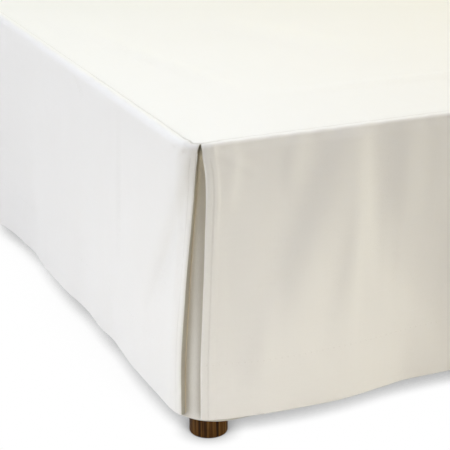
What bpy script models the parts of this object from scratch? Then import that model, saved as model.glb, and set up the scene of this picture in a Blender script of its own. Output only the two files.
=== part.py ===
"""A tailored bed skirt with split foot corners, hanging from a plain bed base on four round legs.

Units are metres, +Z is up, the foot of the bed is towards -Y and the right side, seen from the foot, is +X.
The origin is on the floor, under the middle of the whole thing.
"""

import math
from collections import namedtuple

import bmesh
import bpy
import numpy as np

# ---------------------------------------------------------------- driving sizes
BED_WIDTH = 0.9906  # over the cloth of the two sides, a twin bed of 39 in
BED_LENGTH = 1.905  # from the foot cloth to the head end, 75 in
DROP = 0.3556  # from the deck down to the hem, 14 in
HEM_CLEARANCE = 0.0323  # from the hem down to the floor
CLOTH = 0.0015  # thickness of one sheet
TOUCH_GAP = 0.0003  # left between two pieces that touch
SEAM_GAP = 0.0005  # left along the seam between the deck and a drop

FOOT_REACH = 0.017  # how far the largest fold of the foot stands out
CENTRE_SHIFT = FOOT_REACH / 2  # moves the bed so that the origin is under its middle

# ---------------------------------------------------------------- the skirt's shape
SEAM_INSET = 0.012  # the seam lies this far in from the faces, on top
SHOULDER_RADIUS = 0.009  # the cloth rolls over the edge of the base
TOP_CORNER_RADIUS = 0.036  # plan radius of a foot corner at the shoulder
HEM_CORNER_RADIUS = 0.058  # and at the hem, where the corner opens out
FOLD_GROWTH = 1.25  # a fold grows with this power of the share of the drop

INSERT_HALF_WIDTH = 0.075  # the insert reaches this far to each side of the corner's diagonal
INSERT_SEAM_INSET = 0.0105
INSERT_DEPTH = 0.0033  # behind the skirt's faces
INSERT_CORNER_RADIUS = 0.060  # it hangs plumb behind the split, so its radius stays the same all the way down
INSERT_LOWER = 0.0035  # its hem hangs this much lower than the flaps

# ---------------------------------------------------------------- the bed
BASE_INSET = 0.009  # the base's faces are this far behind the skirt's
BASE_HEAD_INSET = 0.003
BASE_CORNER_RADIUS = INSERT_CORNER_RADIUS - BASE_INSET
BASE_EDGE_RADIUS = 0.012
LEG_LENGTH = 0.150
LEG_RADIUS = 0.0242
LEG_FROM_SIDE = 0.0376  # from the side face of the skirt to the leg's axis
LEG_FROM_END = 0.0415
LEG_EDGE = 0.002

# ---------------------------------------------------------------- grid steps
CORNER_STEP = 0.008  # between columns round a corner
CORNER_RUN = 0.072  # length of a flap that has the fine columns
FACE_STEP = 0.032  # between columns along a face
SHOULDER_STEPS = 3
DROP_ROWS = 7
INSERT_COLUMNS = 15
LEG_SIDES = 32

HALF_WIDTH = BED_WIDTH / 2
HALF_LENGTH = BED_LENGTH / 2
TOP = HEM_CLEARANCE + DROP
FALL = DROP - SHOULDER_RADIUS  # the straight part of a drop, below the shoulder

# ---------------------------------------------------------------- tables
# A swell or hollow of a hanging panel: its middle along the hem, how far it runs towards the corner that the
# distance is counted from and away from it, how far it stands out at the hem, and how far its middle has
# moved at the top of the drop.
Fold = namedtuple("Fold", "middle towards away reach lean")

CORNER_FOLD = Fold(0.000, 0.100, 0.230, 0.0060, 0.00)  # the flaps stand out from the corner at their hem

# Counted from the right side face.
FOOT_FOLDS = (
    CORNER_FOLD,
    Fold(0.190, 0.140, 0.095, 0.0046, 0.02),
    Fold(0.320, 0.050, 0.060, 0.0026, 0.01),
    Fold(0.470, 0.080, 0.110, 0.0055, -0.02),
    Fold(0.575, 0.100, 0.080, 0.0062, -0.02),
    Fold(0.700, 0.080, 0.090, 0.0040, 0.01),
    Fold(0.825, 0.130, 0.110, 0.0165, 0.02),
    Fold(0.9906, 0.230, 0.100, 0.0050, 0.00),
)
# Counted from the foot face.
RIGHT_FOLDS = (
    CORNER_FOLD,
    Fold(0.195, 0.170, 0.110, 0.0128, 0.04),
    Fold(0.312, 0.045, 0.070, -0.0030, 0.02),
    Fold(0.545, 0.140, 0.150, 0.0095, -0.03),
    Fold(0.840, 0.110, 0.130, 0.0060, 0.03),
    Fold(1.130, 0.150, 0.160, 0.0115, 0.02),
    Fold(1.445, 0.120, 0.130, 0.0055, -0.02),
    Fold(1.735, 0.140, 0.120, 0.0090, 0.02),
)
LEFT_FOLDS = (
    CORNER_FOLD,
    Fold(0.170, 0.130, 0.120, 0.0090, -0.03),
    Fold(0.430, 0.130, 0.110, 0.0060, 0.02),
    Fold(0.700, 0.130, 0.170, 0.0125, 0.03),
    Fold(1.020, 0.120, 0.110, 0.0050, -0.02),
    Fold(1.290, 0.140, 0.150, 0.0105, 0.02),
    Fold(1.620, 0.150, 0.140, 0.0070, -0.03),
)

# Where the two flaps of a split corner end, at a share of the drop, along the hem direction and counted from
# the corner's diagonal, positive towards the side.
FlapEdge = namedtuple("FlapEdge", "share foot_flap side_flap")

RIGHT_SPLIT = (
    FlapEdge(0.00, 0.0084, 0.0104),
    FlapEdge(0.04, 0.0044, 0.0146),
    FlapEdge(0.14, 0.0010, 0.0160),
    FlapEdge(0.40, -0.0089, 0.0122),
    FlapEdge(0.78, -0.0190, 0.0062),
    FlapEdge(1.00, -0.0192, 0.0060),
)
LEFT_SPLIT = (
    FlapEdge(0.00, 0.0074, 0.0086),
    FlapEdge(0.05, 0.0046, 0.0110),
    FlapEdge(0.18, -0.0008, 0.0125),
    FlapEdge(0.50, -0.0085, 0.0120),
    FlapEdge(0.80, -0.0130, 0.0102),
    FlapEdge(1.00, -0.0150, 0.0095),
)
SPLITS = {1: RIGHT_SPLIT, -1: LEFT_SPLIT}


# ---------------------------------------------------------------- shape functions
def corner_radius(share):
    return TOP_CORNER_RADIUS + (HEM_CORNER_RADIUS - TOP_CORNER_RADIUS) * share


def from_neighbour_face(distance, share):
    """Turns a distance from the corner's diagonal into one from the face round the corner."""
    return abs(distance) + corner_radius(share) * (1 - math.pi / 4)


def to_diagonal(from_face, share):
    """The other way round, for a point on a straight face."""
    return from_face - corner_radius(share) * (1 - math.pi / 4)


def corner_line(distance, radius, side):
    """Plan point and outward direction at a distance from the diagonal of the foot corner on this side.

    The line runs along the foot where the distance is negative, round the corner, and along the side.
    """
    half_arc = radius * math.pi / 4
    centre = (HALF_WIDTH - radius, radius - HALF_LENGTH)
    if distance < -half_arc:
        point = (centre[0] + distance + half_arc, -HALF_LENGTH)
        outward = (0.0, -1.0)
    elif distance > half_arc:
        point = (HALF_WIDTH, centre[1] + distance - half_arc)
        outward = (1.0, 0.0)
    else:
        angle = math.pi / 4 + distance / radius
        outward = (math.sin(angle), -math.cos(angle))
        point = (centre[0] + radius * outward[0], centre[1] + radius * outward[1])
    return (side * point[0], point[1]), (side * outward[0], outward[1])


def swell(offset, towards, away):
    """1 in the middle of a fold, falling smoothly to 0 at its two ends."""
    width = towards if offset < 0 else away
    if abs(offset) >= width:
        return 0.0
    return 0.5 + 0.5 * math.cos(math.pi * offset / width)


def fold_depth(folds, along, share):
    depth = 0.0
    for fold in folds:
        offset = along - fold.middle - fold.lean * (1 - share)
        depth += fold.reach * swell(offset, fold.towards, fold.away)
    return depth * share**FOLD_GROWTH


def flap_edge(side, share, flap):
    """Distance from the corner's diagonal at which a flap ends."""
    table = SPLITS[side]
    return float(np.interp(share, [row.share for row in table], [getattr(row, flap) for row in table]))


def profile(seam_inset, depth, straight):
    """Rows of a hanging sheet from the seam to the hem: inset from the face, height and share of the drop.

    depth is how far the sheet lies behind the skirt's outer face, and straight is its fall below the shoulder.
    """
    radius = SHOULDER_RADIUS - depth
    rows = [(seam_inset, TOP - depth, 0.0)]
    for step in range(SHOULDER_STEPS + 1):
        angle = math.pi / 2 * step / SHOULDER_STEPS
        inset = SHOULDER_RADIUS - radius * math.sin(angle)
        height = TOP - SHOULDER_RADIUS + radius * math.cos(angle)
        rows.append((inset, height, 0.0))
    for step in range(1, DROP_ROWS + 1):
        share = step / DROP_ROWS
        rows.append((depth, TOP - SHOULDER_RADIUS - straight * share, share))
    return rows


def column_shares(length):
    """Shares of a panel's run from its flap to its far end, closer together round the corner."""
    fine = np.arange(0, CORNER_RUN, CORNER_STEP)
    count = round((length - CORNER_RUN) / FACE_STEP)
    coarse = np.linspace(CORNER_RUN, length, count + 1)
    return [float(value) / length for value in (*fine, *coarse)]


# ---------------------------------------------------------------- making objects
def clear_scene():
    for obj in list(bpy.data.objects):
        bpy.data.objects.remove(obj, do_unlink=True)


def make_material(name, colour, roughness):
    material = bpy.data.materials.new(name)
    material.use_nodes = True
    shader = material.node_tree.nodes["Principled BSDF"]
    shader.inputs["Base Color"].default_value = (*colour, 1.0)
    shader.inputs["Roughness"].default_value = roughness
    shader.inputs["Metallic"].default_value = 0.0
    return material


def make_object(name, mesh, parts, holder, colour, roughness):
    obj = bpy.data.objects.new(name, mesh)
    parts.objects.link(obj)
    obj.parent = holder
    mesh.materials.append(make_material(name, colour, roughness))
    return obj


def grid_mesh(name, columns, rows, place):
    """A square grid moved point by point, so that column i and row j lie at place(i, j)."""
    grid = bmesh.new()
    bmesh.ops.create_grid(grid, x_segments=columns - 1, y_segments=rows - 1, size=1.0)
    for vert in grid.verts:
        column = round((vert.co.x + 1) / 2 * (columns - 1))
        row = round((1 - vert.co.y) / 2 * (rows - 1))
        vert.co = place(column, row)
    mesh = bpy.data.meshes.new(name)
    grid.to_mesh(mesh)
    grid.free()
    mesh.shade_smooth()
    return mesh


def thicken(obj, thickness):
    """Makes an open outer face into a sheet that grows inwards."""
    solidify = obj.modifiers.new("thickness", "SOLIDIFY")
    solidify.thickness = thickness
    solidify.offset = -1.0
    solidify.use_even_offset = True


def rounded_outline(name, low, high, foot_radius, head_radius, steps):
    """A flat rectangle with its foot corners and head corners rounded."""
    outline = bmesh.new()
    bmesh.ops.create_grid(outline, x_segments=1, y_segments=1, size=1.0)
    for vert in outline.verts:
        vert.co.x = high[0] if vert.co.x > 0 else low[0]
        vert.co.y = high[1] if vert.co.y > 0 else low[1]
    middle = (low[1] + high[1]) / 2
    for radius, at_foot in ((foot_radius, True), (head_radius, False)):
        if radius > 0:
            corners = [vert for vert in outline.verts if (vert.co.y < middle) == at_foot]
            bmesh.ops.bevel(
                outline,
                geom=corners,
                offset=radius,
                offset_type="OFFSET",
                segments=steps,
                profile=0.5,
                affect="VERTICES",
            )
    mesh = bpy.data.meshes.new(name)
    outline.to_mesh(mesh)
    outline.free()
    return mesh


# ---------------------------------------------------------------- the pieces
COTTON = (0.86, 0.85, 0.81)
COTTON_ROUGHNESS = 0.85
TICKING = (0.72, 0.68, 0.60)
TICKING_ROUGHNESS = 0.9
DARK_WOOD = (0.055, 0.028, 0.014)
WOOD_ROUGHNESS = 0.45


def hanging_point(side, distance, radius, outwards, height):
    """The point of a hanging sheet that stands outwards from its plan line."""
    point, outward = corner_line(distance, radius, side)
    return (point[0] + outwards * outward[0], point[1] + outwards * outward[1], height)


def make_foot_panel(parts, holder):
    rows = profile(SEAM_INSET, 0.0, FALL)
    half = column_shares(HALF_WIDTH)
    columns = [(-1, share) for share in half] + [(1, share) for share in reversed(half[:-1])]

    def place(column, row):
        side, run = columns[column]
        inset, height, share = rows[row]
        edge = flap_edge(side, share, "foot_flap")
        middle = -to_diagonal(HALF_WIDTH, share)
        distance = edge + (middle - edge) * run
        along = from_neighbour_face(distance, share)
        if side < 0:
            along = BED_WIDTH - along
        outwards = fold_depth(FOOT_FOLDS, along, share) - inset
        return hanging_point(side, distance, corner_radius(share), outwards, height)

    mesh = grid_mesh("foot_panel", len(columns), len(rows), place)
    panel = make_object("foot_panel", mesh, parts, holder, COTTON, COTTON_ROUGHNESS)
    thicken(panel, CLOTH)


def make_side_panel(name, side, folds, parts, holder):
    rows = profile(SEAM_INSET, 0.0, FALL)
    runs = column_shares(BED_LENGTH)
    if side < 0:
        runs = runs[::-1]

    def place(column, row):
        inset, height, share = rows[row]
        edge = flap_edge(side, share, "side_flap")
        head = to_diagonal(BED_LENGTH, share)
        distance = edge + (head - edge) * runs[column]
        outwards = fold_depth(folds, from_neighbour_face(distance, share), share) - inset
        return hanging_point(side, distance, corner_radius(share), outwards, height)

    mesh = grid_mesh(name, len(runs), len(rows), place)
    panel = make_object(name, mesh, parts, holder, COTTON, COTTON_ROUGHNESS)
    thicken(panel, CLOTH)


def make_insert(name, side, parts, holder):
    rows = profile(INSERT_SEAM_INSET, INSERT_DEPTH, FALL + INSERT_LOWER)

    def place(column, row):
        inset, height, _ = rows[row]
        distance = side * INSERT_HALF_WIDTH * (2 * column / (INSERT_COLUMNS - 1) - 1)
        return hanging_point(side, distance, INSERT_CORNER_RADIUS, -inset, height)

    mesh = grid_mesh(name, INSERT_COLUMNS, len(rows), place)
    insert = make_object(name, mesh, parts, holder, COTTON, COTTON_ROUGHNESS)
    thicken(insert, CLOTH)


def make_deck(parts, holder):
    inset = SEAM_INSET + SEAM_GAP
    low = (inset - HALF_WIDTH, inset - HALF_LENGTH)
    high = (HALF_WIDTH - inset, HALF_LENGTH)
    mesh = rounded_outline("deck", low, high, TOP_CORNER_RADIUS - inset, 0.0, 6)
    deck = make_object("deck", mesh, parts, holder, COTTON, COTTON_ROUGHNESS)
    deck.location.z = TOP
    thicken(deck, CLOTH)


def make_base(parts, holder):
    low = (BASE_INSET - HALF_WIDTH, BASE_INSET - HALF_LENGTH)
    high = (HALF_WIDTH - BASE_INSET, HALF_LENGTH - BASE_HEAD_INSET)
    top = TOP - CLOTH - TOUCH_GAP
    mesh = rounded_outline("bed_base", low, high, BASE_CORNER_RADIUS, BASE_CORNER_RADIUS, 5)
    base = make_object("bed_base", mesh, parts, holder, TICKING, TICKING_ROUGHNESS)
    base.location.z = top
    thicken(base, top - LEG_LENGTH - TOUCH_GAP)
    bevel = base.modifiers.new("soft edges", "BEVEL")
    bevel.width = BASE_EDGE_RADIUS
    bevel.segments = 3
    bevel.limit_method = "ANGLE"
    bevel.angle_limit = math.radians(60)
    mesh.shade_smooth()
    mesh.set_sharp_from_angle(angle=math.radians(50))


def make_leg(name, side, at_foot, parts, holder):
    turned = bmesh.new()
    bmesh.ops.create_cone(
        turned,
        cap_ends=True,
        segments=LEG_SIDES,
        radius1=LEG_RADIUS,
        radius2=LEG_RADIUS,
        depth=LEG_LENGTH,
    )
    floor_edges = [edge for edge in turned.edges if all(vert.co.z < 0 for vert in edge.verts)]
    bmesh.ops.bevel(turned, geom=floor_edges, offset=LEG_EDGE, segments=2, profile=0.5, affect="EDGES")
    mesh = bpy.data.meshes.new(name)
    turned.to_mesh(mesh)
    turned.free()
    mesh.shade_smooth()
    mesh.set_sharp_from_angle(angle=math.radians(40))
    leg = make_object(name, mesh, parts, holder, DARK_WOOD, WOOD_ROUGHNESS)
    end = LEG_FROM_END - HALF_LENGTH if at_foot else HALF_LENGTH - LEG_FROM_END
    leg.location = (side * (HALF_WIDTH - LEG_FROM_SIDE), end, LEG_LENGTH / 2)


def main():
    clear_scene()
    parts = bpy.data.collections.new("bed_skirt")
    bpy.context.scene.collection.children.link(parts)
    holder = bpy.data.objects.new("bed_skirt_centre", None)
    parts.objects.link(holder)
    holder.location.y = CENTRE_SHIFT

    make_deck(parts, holder)
    make_foot_panel(parts, holder)
    make_side_panel("side_panel_right", 1, RIGHT_FOLDS, parts, holder)
    make_side_panel("side_panel_left", -1, LEFT_FOLDS, parts, holder)
    make_insert("corner_insert_right", 1, parts, holder)
    make_insert("corner_insert_left", -1, parts, holder)
    make_base(parts, holder)
    for side, side_name in ((1, "right"), (-1, "left")):
        make_leg(f"leg_foot_{side_name}", side, True, parts, holder)
        make_leg(f"leg_head_{side_name}", side, False, parts, holder)


main()
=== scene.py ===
# %% [markdown]
# # A tailored bed skirt with a split corner
#
# A bed skirt hides the base of a bed. A flat deck lies under the mattress, with a plain drop sewn to its foot
# and to each side. The foot corners stay open, to fit beds with posts too, and a strip, the insert, hangs
# behind each.
#
# The solid model already has every piece in its place. This lesson gives each its cloth, its sewing and its
# light. It could start from an empty scene, but the solids give sizes to build on.

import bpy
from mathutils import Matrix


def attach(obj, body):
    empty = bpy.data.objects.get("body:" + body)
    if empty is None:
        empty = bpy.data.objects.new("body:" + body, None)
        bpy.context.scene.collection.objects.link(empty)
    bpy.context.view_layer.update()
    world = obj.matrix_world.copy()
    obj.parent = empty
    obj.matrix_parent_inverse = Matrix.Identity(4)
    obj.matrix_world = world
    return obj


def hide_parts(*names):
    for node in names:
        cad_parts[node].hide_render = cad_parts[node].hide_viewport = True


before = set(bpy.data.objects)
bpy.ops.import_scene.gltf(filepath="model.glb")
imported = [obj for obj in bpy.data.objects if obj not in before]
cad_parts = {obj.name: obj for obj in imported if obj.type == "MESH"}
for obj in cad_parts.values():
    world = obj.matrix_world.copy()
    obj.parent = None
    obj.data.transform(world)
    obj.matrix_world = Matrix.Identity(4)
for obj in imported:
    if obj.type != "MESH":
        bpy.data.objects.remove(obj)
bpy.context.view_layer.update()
print("its nodes:", sorted(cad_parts))

# %% [markdown]
# ## The camera
#
# The slopes of a box's edges in a photograph fix where the camera stood and how long its lens was. Both could
# be found by eye, but a fit to the seam, the hem and the leg is more exact. The camera looks down a little,
# and more squarely at the bed's side than at its foot.

# %% Camera at the photograph's angle
import math
from collections import namedtuple

import bpy
import numpy as np
from mathutils import Vector

CAMERA_PLACE = (1.9333, -1.5374, 0.8653)
CAMERA_PITCH = math.radians(20.16)  # below the horizon
CAMERA_TURN = math.radians(65.98)  # from straight along the bed towards its left side
SENSOR = 36.0
FOCAL_LENGTH = 114.24


def new_object(name, data):
    obj = bpy.data.objects.new(name, data)
    bpy.context.scene.collection.objects.link(obj)
    return obj


def add_camera():
    data = bpy.data.cameras.new("camera")
    data.sensor_width = SENSOR
    data.lens = FOCAL_LENGTH
    camera = new_object("camera", data)
    camera.location = CAMERA_PLACE
    camera.rotation_euler = (math.pi / 2 - CAMERA_PITCH, 0.0, CAMERA_TURN)
    bpy.context.scene.camera = camera
    return camera


camera = add_camera()
print("camera", tuple(camera.location), "lens", camera.data.lens)

# %% [markdown]
# ## Wiring materials
#
# A procedural material is a small graph of nodes. Each takes three lines by hand, so one helper adds a node,
# sets its properties and fills its inputs. A socket is linked, and a number or colour is set.

# %% A helper that adds one node
def fill_inputs(tree, node, inputs):
    for key, value in inputs.items():
        if isinstance(value, bpy.types.NodeSocket):
            tree.links.new(value, node.inputs[key])
        else:
            node.inputs[key].default_value = value


def add_node(tree, kind, inputs=None, **properties):
    node = tree.nodes.new(kind)
    for name, value in properties.items():
        setattr(node, name, value)
    fill_inputs(tree, node, inputs or {})
    return node


def calculate(tree, operation, first, second=0.0):
    """A Math node's result."""
    return add_node(tree, "ShaderNodeMath", {0: first, 1: second}, operation=operation).outputs[0]


def bumps(tree, height, distance, strength, **normal):
    """A normal that is bent by a height, on top of another normal if one is given."""
    inputs = {"Height": height, "Distance": distance, "Strength": strength, **normal}
    return add_node(tree, "ShaderNodeBump", inputs).outputs[0]


def blended(tree, first, second, share):
    """A share of the first value, and the rest from the second."""
    part = calculate(tree, "MULTIPLY", first, share)
    return calculate(tree, "ADD", part, calculate(tree, "MULTIPLY", second, 1 - share))


def remap(tree, value, low, high, to_low, to_high, **properties):
    """A value's range from low to high, moved to another range."""
    inputs = {"Value": value, "From Min": low, "From Max": high, "To Min": to_low, "To Max": to_high}
    return add_node(tree, "ShaderNodeMapRange", inputs, **properties).outputs[0]


def noise(tree, place, detail, **inputs):
    """Noise from 0 to 1 at a place that is already scaled."""
    inputs.update(Vector=place, Scale=1.0, Detail=detail)
    return add_node(tree, "ShaderNodeTexNoise", inputs).outputs["Fac"]


def openness(tree, reach, samples, **inputs):
    """How much of the room a spot can see, within a reach."""
    inputs["Distance"] = reach
    return add_node(tree, "ShaderNodeAmbientOcclusion", inputs, samples=samples).outputs["AO"]


def seen_or_lit(tree, lit, seen, output):
    """One shader for every bounce of light, and another where the camera looks straight at it."""
    looked_at = add_node(tree, "ShaderNodeLightPath").outputs["Is Camera Ray"]
    choice = add_node(tree, "ShaderNodeMixShader", {0: looked_at, 1: lit.outputs[0], 2: seen.outputs[0]})
    tree.links.new(choice.outputs[0], tree.nodes[output].inputs["Surface"])


def new_material(name):
    """A material with only a Principled shader, its tree and that shader."""
    material = bpy.data.materials.new(name)
    material.use_nodes = True
    tree = material.node_tree
    return material, tree, tree.nodes["Principled BSDF"]


print("helpers ready")

# %% [markdown]
# ## The floor
#
# The white studio floor is burnt out, and only a narrow grey shadow stays under the hem. A lamp that strong
# would burn out the cloth too. So the floor is an ordinary pale one for every bounce of light, and where it
# is seen directly, ambient occlusion dims its white by how much of the room each spot can see. Its normal
# leans towards the side of the bed, where more light comes in.

# %% Floor and backdrop
FLOOR_SIZE = 24.0
FLOOR_WHITE = (0.86, 0.86, 0.86, 1.0)
SHADOW_REACH = 0.6
SHADOW_LEAN = math.radians(30)
SHADOW_DARK = 0.30  # brightness where the openness is below the first limit
SHADOW_LIMITS = (0.10, 0.55)  # openness where the shadow starts to clear and where it is gone
CONTACT_REACH = 0.025  # a second, tighter shadow where a leg meets the floor
CONTACT_DARK = 0.55
CONTACT_LIMITS = (0.50, 0.98)
SHADOW_SAMPLES = 16
BACKDROP_GLOW = 0.02
BACKDROP_TINT = (1.0, 0.985, 0.965, 1.0)


def floor_material():
    material, tree, shader = new_material("studio_floor")
    tree.nodes.remove(shader)
    upwards = add_node(tree, "ShaderNodeCombineXYZ", {"X": math.sin(SHADOW_LEAN), "Z": math.cos(SHADOW_LEAN)})
    room = openness(tree, SHADOW_REACH, SHADOW_SAMPLES, Normal=upwards.outputs[0])
    shade = remap(tree, room, *SHADOW_LIMITS, SHADOW_DARK, 1.0, interpolation_type="SMOOTHSTEP")
    near = openness(tree, CONTACT_REACH, SHADOW_SAMPLES)
    contact = remap(tree, near, *CONTACT_LIMITS, CONTACT_DARK, 1.0)
    shown = add_node(tree, "ShaderNodeEmission", {"Strength": calculate(tree, "MULTIPLY", shade, contact)})
    plain = add_node(tree, "ShaderNodeBsdfDiffuse", {"Color": FLOOR_WHITE})
    seen_or_lit(tree, plain, shown, "Material Output")
    return material


def add_floor():
    bpy.ops.mesh.primitive_plane_add(size=FLOOR_SIZE)
    floor = bpy.context.object
    floor.name = "studio_floor"
    floor.data.materials.append(floor_material())
    return floor


def set_backdrop(strength, colour):
    """A soft even light from everywhere, which the camera sees as plain white."""
    world = bpy.data.worlds.new("studio")
    world.use_nodes = True
    tree = world.node_tree
    light = add_node(tree, "ShaderNodeBackground", {"Color": colour, "Strength": strength})
    white = add_node(tree, "ShaderNodeBackground", {"Color": (1, 1, 1, 1), "Strength": 1.0})
    seen_or_lit(tree, light, white, "World Output")
    bpy.context.scene.world = world


add_floor()
set_backdrop(BACKDROP_GLOW, BACKDROP_TINT)
bpy.context.scene.view_settings.view_transform = "Standard"
print("floor", FLOOR_SIZE, "m wide")

# %% [markdown]
# ## The lights
#
# The deck is the brightest plane, the foot drop is nearly as bright, and the side drop is a step darker and
# warmer. Light straight at a face flattens it, and light from far to its side shows each fold. So low suns
# graze both drops, and soft boxes fill them. A narrow beam reaches into the open corner, and a long strip
# near the floor warms the lower side drop. Small lamps would draw hard shadows, which the photograph doesn't
# have.

# %% Soft boxes
SoftBox = namedtuple("SoftBox", "name place target width height spread power colour")

SOFT_BOXES = (
    SoftBox("over_back", (-1.6, 1.0, 2.6), (0.0, -0.3, 0.39), 2.5, 2.5, 180, 30.0, (1.00, 1.14, 1.02)),
    SoftBox("near_over", (0.6, -0.9, 1.9), (0.35, -0.7, 0.39), 1.4, 1.4, 180, 8.1, (1.00, 1.16, 1.58)),
    SoftBox("right_over", (0.3, 0.3, 2.0), (0.3, 0.3, 0.39), 1.5, 1.5, 180, 8.3, (1.00, 0.64, 0.06)),
    SoftBox("front_high", (-0.6, -3.0, 2.2), (0.0, -0.95, 0.30), 1.8, 1.8, 180, 38.0, (1.00, 1.045, 1.14)),
    SoftBox("foot_beam", (-2.2, -3.4, 0.9), (0.6, -0.95, 0.2), 1.6, 1.6, 50, 3.2, (1.00, 0.99, 1.10)),
    SoftBox("corner_beam", (2.00, -1.95, 0.9), (0.47, -0.96, 0.12), 0.5, 0.5, 18, 0.200, (1.02, 1.01, 0.96)),
    SoftBox("low_strip", (0.80, -0.25, 0.03), (0.5, -0.25, 0.04), 1.8, 0.05, 180, 0.21, (1.00, 0.95, 0.81)),
)
# A sun's azimuth turns from straight out of the right side towards the head.
Sun = namedtuple("Sun", "name azimuth height width strength colour")
SUNS = (
    Sun("key_sun", -40, 15, 30, 0.38, (1.00, 0.82, 0.74)),
    Sun("back_sun", 72, 12, 20, 1.77, (1.00, 0.99, 0.92)),
    Sun("side_sun", 10, 10, 25, 0.09, (1.00, 0.70, 0.10)),
    Sun("left_sun", 180, 16, 20, 0.85, (1.00, 1.00, 0.95)),
)


def add_lamp(name, kind, direction, colour, energy):
    data = bpy.data.lights.new(name, kind)
    data.energy = energy
    data.color = colour
    lamp = new_object(name, data)
    lamp.rotation_euler = Vector(direction).to_track_quat("-Z", "Y").to_euler()
    lamp.visible_camera = False
    return lamp


def add_soft_box(box):
    lamp = add_lamp(box.name, "AREA", Vector(box.target) - Vector(box.place), box.colour, box.power)
    lamp.location = box.place
    lamp.data.shape = "RECTANGLE"
    lamp.data.size = box.width
    lamp.data.size_y = box.height
    lamp.data.spread = math.radians(box.spread)


def add_sun(sun):
    azimuth, height = math.radians(sun.azimuth), math.radians(sun.height)
    level = math.cos(height)
    towards = (-math.cos(azimuth) * level, -math.sin(azimuth) * level, -math.sin(height))
    lamp = add_lamp(sun.name, "SUN", towards, sun.colour, sun.strength)
    lamp.data.angle = math.radians(sun.width)


for box in SOFT_BOXES:
    add_soft_box(box)
for sun in SUNS:
    add_sun(sun)
print(len(SOFT_BOXES), "soft boxes and", len(SUNS), "wide low suns")

# %% [markdown]
# ## The cotton
#
# The skirt is a plain weave of white cotton. Its threads are finer than a pixel here, but their unevenness
# shows as faint streaks along and across the cloth. On generated coordinates the pattern would slide over the
# folds, so each sheet has a UV map in metres of cloth, and the threads follow it wherever it goes.

# %% Woven cotton
CLOTH_MAP = "cloth"  # the UV map in metres, along the hem and down from the seam
FINE = 420.0  # uneven threads in a metre of cloth
WEFT_LENGTHS = 7.0  # and uneven stretches in a metre of thread
WARP_LENGTHS = 5.0
CLOUDS = 9.0
THREAD_SHARE = 0.7  # of the tone that comes from the threads, the rest from broad clouds
ROUGHNESS_SPREAD = 0.06
UNEVEN_DEPTH = 1.6  # of the threads, in heights of the weave
UNEVEN_STRENGTH, WEAVE_STRENGTH = 0.6, 0.7
SPECULAR = 0.22
SHEEN_ROUGHNESS = 0.45
# How bright painted shade leaves the very top of an insert.
TOP_PAINTED_SHADE_BRIGHTNESS = 0.03


def weave_height(tree, along, down, pitch):
    """Threads over and under each other, as a pattern from 0 to 1."""
    turns = 2 * math.pi / pitch
    weft = calculate(tree, "SINE", calculate(tree, "MULTIPLY", along, turns))
    warp = calculate(tree, "SINE", calculate(tree, "MULTIPLY", down, turns))
    both = calculate(tree, "MULTIPLY", weft, warp)
    return add_node(tree, "ShaderNodeMath", {0: both, 1: 0.5, 2: 0.5}, operation="MULTIPLY_ADD").outputs[0]


def streaks(tree, along, down, stretch, across, detail):
    """Uneven threads, long in one direction and narrow in the other."""
    x, y = calculate(tree, "MULTIPLY", along, stretch), calculate(tree, "MULTIPLY", down, across)
    return noise(tree, add_node(tree, "ShaderNodeCombineXYZ", {"X": x, "Y": y}).outputs[0], detail)


# Ambient occlusion within this reach paints shade into the cloth's colour in slits and folds.
CREVICE_SHADE_REACH = 0.030
CREVICE_SHADE_SAMPLES = 8
# Painted shade and painted bounce light: the share of the cloth's colour that is left, by how open the spot
# is. It is least halfway into a slit. Deeper in, cream cloth lights itself from all sides, so painted light
# makes it bright and warm again.
PAINTED_CREVICE_SHADE_STOPS = (
    (0.00, (1.000, 0.930, 0.740, 1.0)),
    (0.25, (1.000, 0.920, 0.720, 1.0)),
    (0.42, (0.840, 0.770, 0.620, 1.0)),
    (0.54, (0.560, 0.525, 0.450, 1.0)),
    (0.72, (0.550, 0.530, 0.485, 1.0)),
    (0.88, (0.790, 0.782, 0.755, 1.0)),
    (0.97, (1.000, 1.000, 1.000, 1.0)),
)


def colour_ramp(tree, value, table):
    ramp = add_node(tree, "ShaderNodeValToRGB", {"Fac": value})
    stops = ramp.color_ramp.elements
    stops[0].position, stops[0].color = table[0]
    stops[1].position, stops[1].color = table[-1]
    for position, colour in table[1:-1]:
        stops.new(position).color = colour
    return ramp.outputs["Color"]


def multiplied(tree, first, second):
    """Two colours multiplied."""
    inputs = {0: 1.0, 6: first, 7: second}
    return add_node(tree, "ShaderNodeMix", inputs, data_type="RGBA", blend_type="MULTIPLY").outputs[2]


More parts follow.
